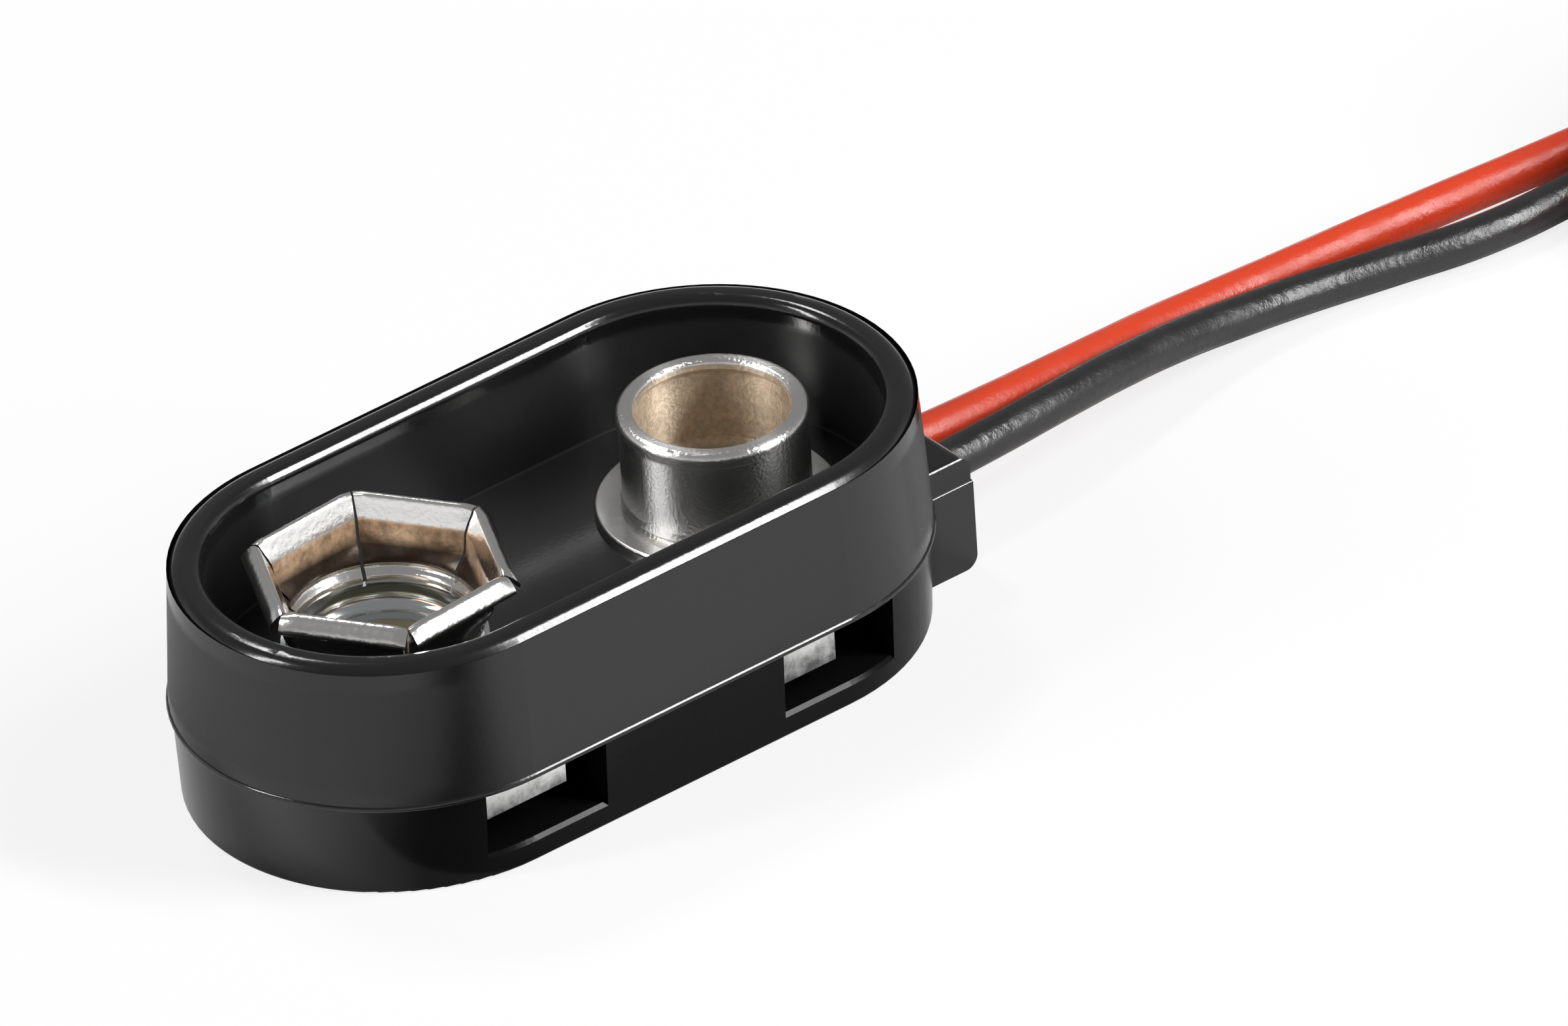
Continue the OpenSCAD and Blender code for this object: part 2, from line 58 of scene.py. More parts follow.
# The leads. Two stranded wires in soft PVC, red on the socket and black on the stud, each held
# by the strain relief and led out through the block. What the frame doesn't show lies in a coil.
lead_d = 0.0013
lead_r = lead_d / 2
exit_red = (0.01412, 0.00082, 0.00215)
exit_black = (0.01412, -0.00082, 0.00215)
red_inside = [
    (-0.0019, 0.00034, 0.00218), (0.0004, 0.0008, 0.0019), (0.0028, 0.0017, 0.0018),
    (0.0048, 0.0025, 0.0018), (0.0072, 0.0026, 0.00185), (0.0092, 0.0016, 0.002),
    (0.0112, 0.00082, 0.00215), exit_red,
]
black_inside = [(0.0108, -0.00082, 0.00215), (0.0125, -0.00082, 0.00215), exit_black]
red_outside = [
    exit_red, (0.0168, 0.00087, 0.00203), (0.0195, 0.00116, 0.00175), (0.022, 0.00156, 0.0014),
    (0.0245, 0.00196, 0.00105), (0.027, 0.00212, 0.0008), (0.0295, 0.00212, 0.00067),
    (0.0325, 0.00197, 0.00065), (0.036, 0.0017, 0.00065), (0.0397, 0.0014, 0.00065),
    (0.0434, 0.0012, 0.00065),
]
black_outside = [
    exit_black, (0.0168, -0.0006, 0.00208), (0.0195, -0.00026, 0.00195), (0.022, 0.00018, 0.00167),
    (0.0245, 0.00058, 0.0013), (0.027, 0.00074, 0.00095), (0.0295, 0.00064, 0.00072),
    (0.0325, 0.0001, 0.00065), (0.0355, -0.0005, 0.00065), (0.0386, -0.0006, 0.00065),
    (0.0415, -0.0003, 0.00065), (0.0447, -0.0001, 0.00065),
]
coil_centre = (0.048, -0.0066)
red_coil_r = 0.0078
black_coil_r = 0.0065
layer_rise = 0.00133
black_heading = (-0.9686, -0.2487)


def ease(t):
    t = min(1.0, max(0.0, t))
    return t * t * (3 - 2 * t)


def coil_place(degrees, radius, height):
    a = math.radians(degrees)
    return (coil_centre[0] + radius * math.sin(a), coil_centre[1] + radius * math.cos(a), height)


def coil_points(radius, turns):
    steps_in_turn = 18
    climb_at, climb_over = 240, 60
    steps = round(turns * steps_in_turn)
    points = []
    for i in range(steps + 1):
        degrees = 360 * turns * i / steps
        layer = degrees // 360 + ease((degrees % 360 - climb_at) / climb_over)
        points.append(coil_place(degrees, radius, lead_r + layer_rise * layer))
    return points


def curl_off(first, last, outwards):
    step = 6
    leave_at, leave_over = 18, 34
    sink_at, sink_over = 50, 48
    points = []
    for degrees in range(first, last, step):
        radius = red_coil_r + outwards * ease((degrees - leave_at) / leave_over)
        height = lead_r + 2 * layer_rise * (1 - ease((degrees - sink_at) / sink_over))
        points.append(coil_place(degrees, radius, height))
    return points


def run_out(start, heading, hold, down, end):
    count = 8
    points = []
    for i in range(1, count + 1):
        s = end * i / count
        height = lead_r + (start[2] - lead_r) * (1 - ease((s - hold) / (down - hold)))
        points.append((start[0] + heading[0] * s, start[1] + heading[1] * s, height))
    return points


def sheath(name, points):
    curve = bpy.data.curves.new(name, "CURVE")
    curve.dimensions = "3D"
    curve.bevel_depth = lead_r
    curve.bevel_resolution = 5
    curve.use_fill_caps = True
    curve.resolution_u = 8
    spline = curve.splines.new("BEZIER")
    spline.bezier_points.add(len(points) - 1)
    for knot, place in zip(spline.bezier_points, points):
        knot.co = place
        knot.handle_left_type = knot.handle_right_type = "AUTO"
    piece = bpy.data.objects.new(name, curve)
    bpy.context.scene.collection.objects.link(piece)
    return piece


red_turns = coil_points(red_coil_r, turns=2.05)
black_turns = coil_points(black_coil_r, turns=2.46)
red_end = curl_off(first=26, last=105, outwards=0.0014)
black_end = run_out(black_turns[-1], black_heading, hold=0.0056, down=0.0122, end=0.0128)
red_flex = sheath("red_flex", red_outside + red_turns + red_end)
black_flex = sheath("black_flex", black_outside + black_turns + black_end)
red_inner = sheath("red_inner_run", red_inside)
black_inner = sheath("black_inner_run", black_inside)

# The stripped ends. Seven tinned copper strands stand 5 mm out of each sheath, one in the middle and
# six laid round it with a slight twist, all cut square.
strand_r = 0.000115
strand_spread = 0.00023
strand_steps = 15
strand_twist = 200
bare_length = 0.005
tucked_in = 0.0006
red_heading = (-0.242, -0.970)


def strands(name, start, heading):
    curve = bpy.data.curves.new(name, "CURVE")
    curve.dimensions = "3D"
    curve.bevel_depth = strand_r
    curve.bevel_resolution = 2
    curve.use_fill_caps = True
    for k in range(7):
        spread = 0.0 if k == 6 else strand_spread
        spline = curve.splines.new("POLY")
        spline.points.add(strand_steps)
        for i, knot in enumerate(spline.points):
            s = (bare_length + tucked_in) * i / strand_steps - tucked_in
            a = math.radians(60 * k + strand_twist * i / strand_steps)
            across, rise = spread * math.cos(a), spread * math.sin(a)
            knot.co = (start[0] + heading[0] * s - heading[1] * across,
                       start[1] + heading[1] * s + heading[0] * across, start[2] + rise, 1)
    piece = bpy.data.objects.new(name, curve)
    bpy.context.scene.collection.objects.link(piece)
    bpy.context.view_layer.objects.active = piece
    piece.select_set(True)
    bpy.ops.object.convert(target="MESH")
    piece.select_set(False)
    return piece


red_strands = strands("red_strands", red_end[-1], red_heading)
black_strands = strands("black_strands", black_end[-1], black_heading)

# The leads' finish. Bright tinned strands, and soft red and black PVC with a fine ripple and streaks
# of wear. Here each lead also takes the place of its solids.
tinned = bpy.data.materials.new("tinned_strands")
tinned.use_nodes = True
shader = tinned.node_tree.nodes["Principled BSDF"]
shader.inputs["Base Color"].default_value = (0.76, 0.70, 0.62, 1)
shader.inputs["Metallic"].default_value = 1
shader.inputs["Roughness"].default_value = 0.3
for piece in (red_strands, black_strands):
    piece.data.materials.append(tinned)


def sheath_material(name, colour, gloss, specular):
    material = bpy.data.materials.new(name)
    material.use_nodes = True
    tree = material.node_tree
    shader = tree.nodes["Principled BSDF"]
    place = tree.nodes.new("ShaderNodeTexCoord")
    ripple = tree.nodes.new("ShaderNodeTexNoise")
    ripple.inputs["Scale"].default_value = 3200
    ripple.inputs["Detail"].default_value = 4
    ripple.inputs["Roughness"].default_value = 0.6
    streak = tree.nodes.new("ShaderNodeTexNoise")
    streak.inputs["Scale"].default_value = 700
    streak.inputs["Detail"].default_value = 2
    wear = tree.nodes.new("ShaderNodeMapRange")
    wear.inputs["From Min"].default_value = 0.3
    wear.inputs["From Max"].default_value = 0.7
    wear.inputs["To Min"].default_value = gloss - 0.08
    wear.inputs["To Max"].default_value = gloss + 0.12
    bump = tree.nodes.new("ShaderNodeBump")
    bump.inputs["Strength"].default_value = 0.6
    bump.inputs["Distance"].default_value = 0.00005
    tint = tree.nodes.new("ShaderNodeMix")
    tint.data_type = "RGBA"
    tint.inputs["A"].default_value = colour
    tint.inputs["B"].default_value = tuple(c * 0.88 for c in colour[:3]) + (1,)
    link = tree.links.new
    link(place.outputs["Object"], ripple.inputs["Vector"])
    link(place.outputs["Object"], streak.inputs["Vector"])
    link(ripple.outputs["Fac"], bump.inputs["Height"])
    link(streak.outputs["Fac"], tint.inputs["Factor"])
    link(streak.outputs["Fac"], wear.inputs["Value"])
    link(wear.outputs["Result"], shader.inputs["Roughness"])
    link(tint.outputs["Result"], shader.inputs["Base Color"])
    link(bump.outputs["Normal"], shader.inputs["Normal"])
    shader.inputs["Specular IOR Level"].default_value = specular
    return material


red_pvc = sheath_material("red_pvc", (0.68, 0.052, 0.014, 1), gloss=0.36, specular=0.45)
black_pvc = sheath_material("black_pvc", (0.014, 0.014, 0.015, 1), gloss=0.3, specular=0.6)
for piece in (red_flex, red_inner):
    piece.data.materials.append(red_pvc)
    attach(piece, "root")
for piece in (black_flex, black_inner):
    piece.data.materials.append(black_pvc)
    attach(piece, "root")
for piece in (red_strands, black_strands):
    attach(piece, "root")
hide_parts("red_lead", "red_coil", "red_tail")
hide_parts("black_lead", "black_coil", "black_tail")
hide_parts("red_tip")
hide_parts("black_tip")

# The housing. Two black mouldings that close on each other at a seam: an upper shell with a rounded
# rim round the terminals and a base tray. Satin plastic with a fine grain and soft flow marks.
grain = bpy.data.node_groups.new("moulding_grain", "ShaderNodeTree")
grain.interface.new_socket(name="Size", in_out="INPUT", socket_type="NodeSocketFloat")
grain.interface.new_socket(name="Height", in_out="OUTPUT", socket_type="NodeSocketFloat")
grain.interface.new_socket(name="Drift", in_out="OUTPUT", socket_type="NodeSocketFloat")
group_in = grain.nodes.new("NodeGroupInput")
group_out = grain.nodes.new("NodeGroupOutput")
place = grain.nodes.new("ShaderNodeTexCoord")
fine = grain.nodes.new("ShaderNodeTexNoise")
fine.inputs["Detail"].default_value = 3
wide = grain.nodes.new("ShaderNodeTexNoise")
wide.inputs["Scale"].default_value = 260
wide.inputs["Detail"].default_value = 3
grain.links.new(place.outputs["Object"], fine.inputs["Vector"])
grain.links.new(place.outputs["Object"], wide.inputs["Vector"])
grain.links.new(group_in.outputs["Size"], fine.inputs["Scale"])
grain.links.new(fine.outputs["Fac"], group_out.inputs["Height"])
grain.links.new(wide.outputs["Fac"], group_out.inputs["Drift"])


def moulded_black(name, colour, low, high, specular):
    material = bpy.data.materials.new(name)
    material.use_nodes = True
    tree = material.node_tree
    shader = tree.nodes["Principled BSDF"]
    texture = tree.nodes.new("ShaderNodeGroup")
    texture.node_tree = grain
    texture.inputs["Size"].default_value = 7000
    spread = tree.nodes.new("ShaderNodeMapRange")
    spread.inputs["From Min"].default_value = 0.3
    spread.inputs["From Max"].default_value = 0.7
    spread.inputs["To Min"].default_value = low
    spread.inputs["To Max"].default_value = high
    bump = tree.nodes.new("ShaderNodeBump")
    bump.inputs["Strength"].default_value = 0.15
    bump.inputs["Distance"].default_value = 0.00002
    tree.links.new(texture.outputs["Height"], bump.inputs["Height"])
    tree.links.new(texture.outputs["Drift"], spread.inputs["Value"])
    tree.links.new(spread.outputs["Result"], shader.inputs["Roughness"])
    tree.links.new(bump.outputs["Normal"], shader.inputs["Normal"])
    shader.inputs["Base Color"].default_value = colour
    shader.inputs["Specular IOR Level"].default_value = specular
    return material


def dress(name, material):
    piece = nodes[name]
    piece.data.materials.clear()
    piece.data.materials.append(material)


upper_black = moulded_black("upper_black", (0.0085, 0.0085, 0.009, 1), 0.13, 0.2, specular=0.5)
base_black = moulded_black("base_black", (0.005, 0.005, 0.0055, 1), 0.16, 0.24, specular=0.1)
dress("upper_shell", upper_black)
dress("lower_shell", base_black)

# The dull walls. The recess walls and the outside of the round ends come from a spark-eroded part of
# the mould, so they are duller than the rim, the long sides and the recess floor. The narrow slope
# between floor and wall is duller still.
deck = 0.0039
tree = upper_black.node_tree
shape = tree.nodes.new("ShaderNodeNewGeometry")
place = tree.nodes.new("ShaderNodeTexCoord")
split = tree.nodes.new("ShaderNodeSeparateXYZ")
facing = tree.nodes.new("ShaderNodeSeparateXYZ")
under_rim = tree.nodes.new("ShaderNodeMapRange")
under_rim.inputs["From Min"].default_value = 0.0073
under_rim.inputs["From Max"].default_value = 0.007
over_seam = tree.nodes.new("ShaderNodeMapRange")
over_seam.inputs["From Min"].default_value = 0.0034
over_seam.inputs["From Max"].default_value = 0.0038
duller = tree.nodes.new("ShaderNodeMath")
duller.operation = "MULTIPLY"
upright = tree.nodes.new("ShaderNodeMath")
upright.operation = "COMPARE"
upright.inputs[1].default_value = 0.0
upright.inputs[2].default_value = 0.2
dull_wall = tree.nodes.new("ShaderNodeMath")
dull_wall.operation = "MULTIPLY"
off_axis = tree.nodes.new("ShaderNodeMath")
off_axis.operation = "ABSOLUTE"
within = tree.nodes.new("ShaderNodeMapRange")
within.inputs["From Min"].default_value = 0.0064
within.inputs["From Max"].default_value = 0.0058
inner_wall = tree.nodes.new("ShaderNodeMath")
inner_wall.operation = "MULTIPLY"
recess = tree.nodes.new("ShaderNodeMix")
recess.inputs["B"].default_value = 0.46
height = tree.nodes.new("ShaderNodeMath")
height.operation = "COMPARE"
height.inputs[1].default_value = deck + 0.00003
height.inputs[2].default_value = 0.00006
slanted = tree.nodes.new("ShaderNodeMath")
slanted.operation = "COMPARE"
slanted.inputs[1].default_value = 0.707
slanted.inputs[2].default_value = 0.2
slope = tree.nodes.new("ShaderNodeMath")
slope.operation = "MULTIPLY"
before_block = tree.nodes.new("ShaderNodeMath")
before_block.operation = "LESS_THAN"
before_block.inputs[1].default_value = 0.0116
slope_here = tree.nodes.new("ShaderNodeMath")
slope_here.operation = "MULTIPLY"
rougher = tree.nodes.new("ShaderNodeMix")
rougher.inputs["B"].default_value = 0.85
shader = tree.nodes["Principled BSDF"]
gloss = shader.inputs["Roughness"].links[0].from_socket
link = tree.links.new
link(place.outputs["Object"], split.inputs["Vector"])
link(shape.outputs["True Normal"], facing.inputs["Vector"])
link(split.outputs["Z"], under_rim.inputs["Value"])
link(split.outputs["Z"], over_seam.inputs["Value"])
link(under_rim.outputs["Result"], duller.inputs[0])
link(over_seam.outputs["Result"], duller.inputs[1])
link(facing.outputs["Z"], upright.inputs[0])
link(duller.outputs["Value"], dull_wall.inputs[0])
link(upright.outputs["Value"], dull_wall.inputs[1])
link(split.outputs["Y"], off_axis.inputs[0])
link(off_axis.outputs["Value"], within.inputs["Value"])
link(dull_wall.outputs["Value"], inner_wall.inputs[0])
link(within.outputs["Result"], inner_wall.inputs[1])
link(inner_wall.outputs["Value"], recess.inputs["Factor"])
link(gloss, recess.inputs["A"])
link(split.outputs["Z"], height.inputs[0])
link(facing.outputs["Z"], slanted.inputs[0])
link(height.outputs["Value"], slope.inputs[0])
link(slanted.outputs["Value"], slope.inputs[1])
link(split.outputs["X"], before_block.inputs[0])
link(slope.outputs["Value"], slope_here.inputs[0])
link(before_block.outputs["Value"], slope_here.inputs[1])
link(slope_here.outputs["Value"], rougher.inputs["Factor"])
link(recess.outputs["Result"], rougher.inputs["A"])
link(rougher.outputs["Result"], shader.inputs["Roughness"])

# The block over the leads and the base's socket end. Fingers polish them, so they carry a gloss
# that the rest of the base lacks.
tree = base_black.node_tree
place = tree.nodes.new("ShaderNodeTexCoord")
split = tree.nodes.new("ShaderNodeSeparateXYZ")
block_end = tree.nodes.new("ShaderNodeMapRange")
block_end.inputs["From Min"].default_value = 0.0098
block_end.inputs["From Max"].default_value = 0.0122
socket_end = tree.nodes.new("ShaderNodeMapRange")
socket_end.inputs["From Min"].default_value = -0.0096
socket_end.inputs["From Max"].default_value = -0.0124
polish = tree.nodes.new("ShaderNodeMath")
polish.operation = "MAXIMUM"
shader = tree.nodes["Principled BSDF"]
shader.inputs["Coat Roughness"].default_value = 0.16
link = tree.links.new
link(place.outputs["Object"], split.inputs["Vector"])
link(split.outputs["X"], block_end.inputs["Value"])
link(split.outputs["X"], socket_end.inputs["Value"])
link(block_end.outputs["Result"], polish.inputs[0])
link(socket_end.outputs["Result"], polish.inputs[1])
link(polish.outputs["Value"], shader.inputs["Coat Weight"])

# The contacts. Brass strip, drawn and nickel-plated: a six-petal socket, and a hollow stud on a
# washer, each riveted through the floor. The plating is bright, and the faces that look inwards are
# tan and mottled between the heights low and top.
plating = bpy.data.node_groups.new("plating", "ShaderNodeTree")
plating.interface.new_socket(name="Size", in_out="INPUT", socket_type="NodeSocketFloat")
plating.interface.new_socket(name="Height", in_out="OUTPUT", socket_type="NodeSocketFloat")
plating.interface.new_socket(name="Mottle", in_out="OUTPUT", socket_type="NodeSocketFloat")
group_in = plating.nodes.new("NodeGroupInput")
group_out = plating.nodes.new("NodeGroupOutput")
place = plating.nodes.new("ShaderNodeTexCoord")
half = plating.nodes.new("ShaderNodeMath")
half.operation = "MULTIPLY"
half.inputs[1].default_value = 0.5
fine = plating.nodes.new("ShaderNodeTexNoise")
fine.inputs["Detail"].default_value = 4
wide = plating.nodes.new("ShaderNodeTexNoise")
wide.inputs["Detail"].default_value = 5
wide.inputs["Roughness"].default_value = 0.7
link = plating.links.new
link(group_in.outputs["Size"], fine.inputs["Scale"])
link(group_in.outputs["Size"], half.inputs[0])
link(half.outputs["Value"], wide.inputs["Scale"])
link(place.outputs["Object"], fine.inputs["Vector"])
link(place.outputs["Object"], wide.inputs["Vector"])
link(fine.outputs["Fac"], group_out.inputs["Height"])
link(wide.outputs["Fac"], group_out.inputs["Mottle"])


def plated(name, centre, bright, gloss, size, relief, tan=(1, 1, 1, 1), low=0.0, top=0.0, dull=0.5,
           low_tone=0.9):
    material = bpy.data.materials.new(name)
    material.use_nodes = True
    tree = material.node_tree
    shader = tree.nodes["Principled BSDF"]
    texture = tree.nodes.new("ShaderNodeGroup")
    texture.node_tree = plating
    texture.inputs["Size"].default_value = size
    shape = tree.nodes.new("ShaderNodeNewGeometry")
    place = tree.nodes.new("ShaderNodeTexCoord")
    shift = tree.nodes.new("ShaderNodeVectorMath")
    shift.operation = "SUBTRACT"
    shift.inputs[1].default_value = (centre, 0, 0)
    flat = tree.nodes.new("ShaderNodeVectorMath")
    flat.operation = "MULTIPLY"
    flat.inputs[1].default_value = (1, 1, 0)
    out = tree.nodes.new("ShaderNodeVectorMath")
    out.operation = "NORMALIZE"
    facing = tree.nodes.new("ShaderNodeVectorMath")
    facing.operation = "DOT_PRODUCT"
    inside = tree.nodes.new("ShaderNodeMapRange")
    inside.inputs["From Min"].default_value = -0.3
    inside.inputs["From Max"].default_value = -0.6
    split = tree.nodes.new("ShaderNodeSeparateXYZ")
    below = tree.nodes.new("ShaderNodeMapRange")
    below.inputs["From Min"].default_value = top
    below.inputs["From Max"].default_value = top - 0.0001
    above = tree.nodes.new("ShaderNodeMapRange")
    above.inputs["From Min"].default_value = low
    above.inputs["From Max"].default_value = low + 0.00005
    band = tree.nodes.new("ShaderNodeMath")
    band.operation = "MULTIPLY"
    both = tree.nodes.new("ShaderNodeMath")
    both.operation = "MULTIPLY"
    spots = tree.nodes.new("ShaderNodeMapRange")
    spots.inputs["From Min"].default_value = 0.38
    spots.inputs["From Max"].default_value = 0.62
    mottled = tree.nodes.new("ShaderNodeMix")
    mottled.data_type = "RGBA"
    mottled.inputs["A"].default_value = tuple(c * low_tone for c in tan[:3]) + (1,)
    mottled.inputs["B"].default_value = tuple(min(1.0, c * (2 - low_tone)) for c in tan[:3]) + (1,)
    tone = tree.nodes.new("ShaderNodeMix")
    tone.data_type = "RGBA"
    tone.inputs["A"].default_value = bright
    dulling = tree.nodes.new("ShaderNodeMapRange")
    dulling.inputs["To Min"].default_value = gloss
    dulling.inputs["To Max"].default_value = dull
    metal = tree.nodes.new("ShaderNodeMapRange")
    metal.inputs["To Min"].default_value = 1.0
    metal.inputs["To Max"].default_value = 0.55
    bump = tree.nodes.new("ShaderNodeBump")
    bump.inputs["Strength"].default_value = relief
    bump.inputs["Distance"].default_value = 0.00003
    link = tree.links.new
    link(place.outputs["Object"], shift.inputs[0])
    link(shift.outputs["Vector"], flat.inputs[0])
    link(flat.outputs["Vector"], out.inputs[0])
    link(out.outputs["Vector"], facing.inputs[0])
    link(shape.outputs["Normal"], facing.inputs[1])
    link(facing.outputs["Value"], inside.inputs["Value"])
    link(place.outputs["Object"], split.inputs["Vector"])
    link(split.outputs["Z"], below.inputs["Value"])
    link(inside.outputs["Result"], both.inputs[0])
    link(split.outputs["Z"], above.inputs["Value"])
    link(below.outputs["Result"], band.inputs[0])
    link(above.outputs["Result"], band.inputs[1])
    link(band.outputs["Value"], both.inputs[1])
    link(texture.outputs["Mottle"], spots.inputs["Value"])
    link(spots.outputs["Result"], mottled.inputs["Factor"])
    link(mottled.outputs["Result"], tone.inputs["B"])
    link(both.outputs["Value"], tone.inputs["Factor"])
    link(tone.outputs["Result"], shader.inputs["Base Color"])
    link(both.outputs["Value"], dulling.inputs["Value"])
    link(dulling.outputs["Result"], shader.inputs["Roughness"])
    link(both.outputs["Value"], metal.inputs["Value"])
    link(metal.outputs["Result"], shader.inputs["Metallic"])
    link(texture.outputs["Height"], bump.inputs["Height"])
    link(bump.outputs["Normal"], shader.inputs["Normal"])
    return material


socket_x, stud_x = -0.00635, 0.00635
nickel = (0.8, 0.79, 0.77, 1)
socket_plating = plated("socket_plating", socket_x, nickel, gloss=0.17, size=5200, relief=0.35,
                        tan=(0.66, 0.45, 0.29, 1), low=0.00562, top=0.00705, dull=0.3, low_tone=0.65)
cup_plating = plated("cup_plating", socket_x, (0.66, 0.69, 0.7, 1), gloss=0.12, size=2600, relief=0.15)
rivet_brass = plated("rivet_brass", socket_x, (0.46, 0.42, 0.3, 1), gloss=0.3, size=2600, relief=0.2)
stud_plating = plated("stud_plating", stud_x, nickel, gloss=0.25, size=9500, relief=0.6,
                      tan=(0.68, 0.56, 0.42, 1), top=0.00738, low_tone=0.84)
stud_rivet_plating = plated("stud_rivet_plating", stud_x, (0.17, 0.13, 0.09, 1), gloss=0.5, size=9500,
                            relief=0.6, tan=(0.5, 0.4, 0.29, 1), top=0.02, low_tone=0.84)
washer_plating = plated("washer_plating", stud_x, nickel, gloss=0.24, size=2600, relief=0.15)
shader = stud_plating.node_tree.nodes["Principled BSDF"]
shader.inputs["Anisotropic"].default_value = 0.9
shader.inputs["Anisotropic Rotation"].default_value = 0.25
dress("stud_contact", stud_plating)
dress("stud_washer", washer_plating)
dress("socket_rivet", rivet_brass)
dress("stud_rivet", stud_rivet_plating)
for name in ("red_core", "black_core", "red_solder", "black_solder"):
    dress(name, tinned)

# The rubbed strip on the stud's barrel. On the side towards the socket the barrel is scuffed from
# top to foot below the rolled head, so that it spreads a light into one tall band.
tree = stud_plating.node_tree
shader = tree.nodes["Principled BSDF"]
gloss = shader.inputs["Roughness"].links[0].from_socket
place = tree.nodes.new("ShaderNodeTexCoord")
split = tree.nodes.new("ShaderNodeSeparateXYZ")
below_head = tree.nodes.new("ShaderNodeMapRange")
below_head.inputs["From Min"].default_value = 0.0072
below_head.inputs["From Max"].default_value = 0.0069
below_head.inputs["To Max"].default_value = 0.5
strip_facing = (-0.968, -0.25, 0)
towards = tree.nodes.new("ShaderNodeVectorMath")
towards.operation = "DOT_PRODUCT"
towards.inputs[1].default_value = strip_facing
strip = tree.nodes.new("ShaderNodeMapRange")
strip.inputs["From Min"].default_value = -0.00345
strip.inputs["From Max"].default_value = -0.00326
rubbed = tree.nodes.new("ShaderNodeMath")
rubbed.operation = "MULTIPLY"
barrel = tree.nodes.new("ShaderNodeMath")
barrel.operation = "MAXIMUM"
link = tree.links.new
link(place.outputs["Object"], split.inputs["Vector"])
link(place.outputs["Object"], towards.inputs[0])
link(split.outputs["Z"], below_head.inputs["Value"])
link(towards.outputs["Value"], strip.inputs["Value"])
link(below_head.outputs["Result"], rubbed.inputs[0])
link(strip.outputs["Result"], rubbed.inputs[1])
link(gloss, barrel.inputs[0])
link(rubbed.outputs["Value"], barrel.inputs[1])
link(barrel.outputs["Value"], shader.inputs["Roughness"])

# The painted shade in the socket. In the hollow over the petals' bead the tan is painted dark brown as
# shade, and the painted shade fades upwards into the tan of the flats.
tree = socket_plating.node_tree
shader = tree.nodes["Principled BSDF"]
tone = shader.inputs["Base Color"].links[0].from_node
tan_flat = tone.inputs["B"].links[0].from_socket
place = tree.nodes.new("ShaderNodeTexCoord")
split = tree.nodes.new("ShaderNodeSeparateXYZ")
hollow = tree.nodes.new("ShaderNodeMapRange")
hollow.inputs["From Min"].default_value = 0.0066
hollow.inputs["From Max"].default_value = 0.0062
hollow.inputs["To Max"].default_value = 0.95
hollow_shade = tree.nodes.new("ShaderNodeMix")
hollow_shade.data_type = "RGBA"
hollow_shade.inputs["B"].default_value = (0.02, 0.013, 0.01, 1)
link = tree.links.new
link(place.outputs["Object"], split.inputs["Vector"])
link(split.outputs["Z"], hollow.inputs["Value"])
link(hollow.outputs["Result"], hollow_shade.inputs["Factor"])
link(tan_flat, hollow_shade.inputs["A"])
link(hollow_shade.outputs["Result"], tone.inputs["B"])

# The tags. Tinned brass arms that come out under the floor and bend down in the windows. Their colour
# is painted light at the bend as a painted highlight and darker lower down as painted shade, with
# stained patches over both.
tinned_tag = bpy.data.materials.new("tinned_tag")
tinned_tag.use_nodes = True
tree = tinned_tag.node_tree
shader = tree.nodes["Principled BSDF"]
texture = tree.nodes.new("ShaderNodeGroup")
texture.node_tree = plating
texture.inputs["Size"].default_value = 2400
place = tree.nodes.new("ShaderNodeTexCoord")
split = tree.nodes.new("ShaderNodeSeparateXYZ")
# The height mask paints the painted highlight at the bend and the painted shade below it.
height = tree.nodes.new("ShaderNodeMapRange")
height.clamp = False
height.inputs["From Min"].default_value = 0.0016
height.inputs["From Max"].default_value = 0.0025
patch = tree.nodes.new("ShaderNodeMapRange")
patch.clamp = False
patch.inputs["From Min"].default_value = 0.25
patch.inputs["From Max"].default_value = 0.75
patch.inputs["To Min"].default_value = -0.6
patch.inputs["To Max"].default_value = 0.6
painted_light_and_stains = tree.nodes.new("ShaderNodeMath")
painted_light_and_stains.operation = "ADD"
painted_light_and_stains.use_clamp = True
tone = tree.nodes.new("ShaderNodeMix")
tone.data_type = "RGBA"
tone.inputs["A"].default_value = (0.16, 0.16, 0.16, 1)
tone.inputs["B"].default_value = (0.93, 0.93, 0.92, 1)
bump = tree.nodes.new("ShaderNodeBump")
bump.inputs["Strength"].default_value = 0.5
bump.inputs["Distance"].default_value = 0.00003
link = tree.links.new
link(place.outputs["Object"], split.inputs["Vector"])
link(split.outputs["Z"], height.inputs["Value"])
link(texture.outputs["Mottle"], patch.inputs["Value"])
link(height.outputs["Result"], painted_light_and_stains.inputs[0])
link(patch.outputs["Result"], painted_light_and_stains.inputs[1])
link(painted_light_and_stains.outputs["Value"], tone.inputs["Factor"])
link(tone.outputs["Result"], shader.inputs["Base Color"])
link(texture.outputs["Height"], bump.inputs["Height"])
link(bump.outputs["Normal"], shader.inputs["Normal"])
shader.inputs["Metallic"].default_value = 1
shader.inputs["Roughness"].default_value = 0.3
for name in ("socket_tag", "stud_tag"):
    dress(name, tinned_tag)

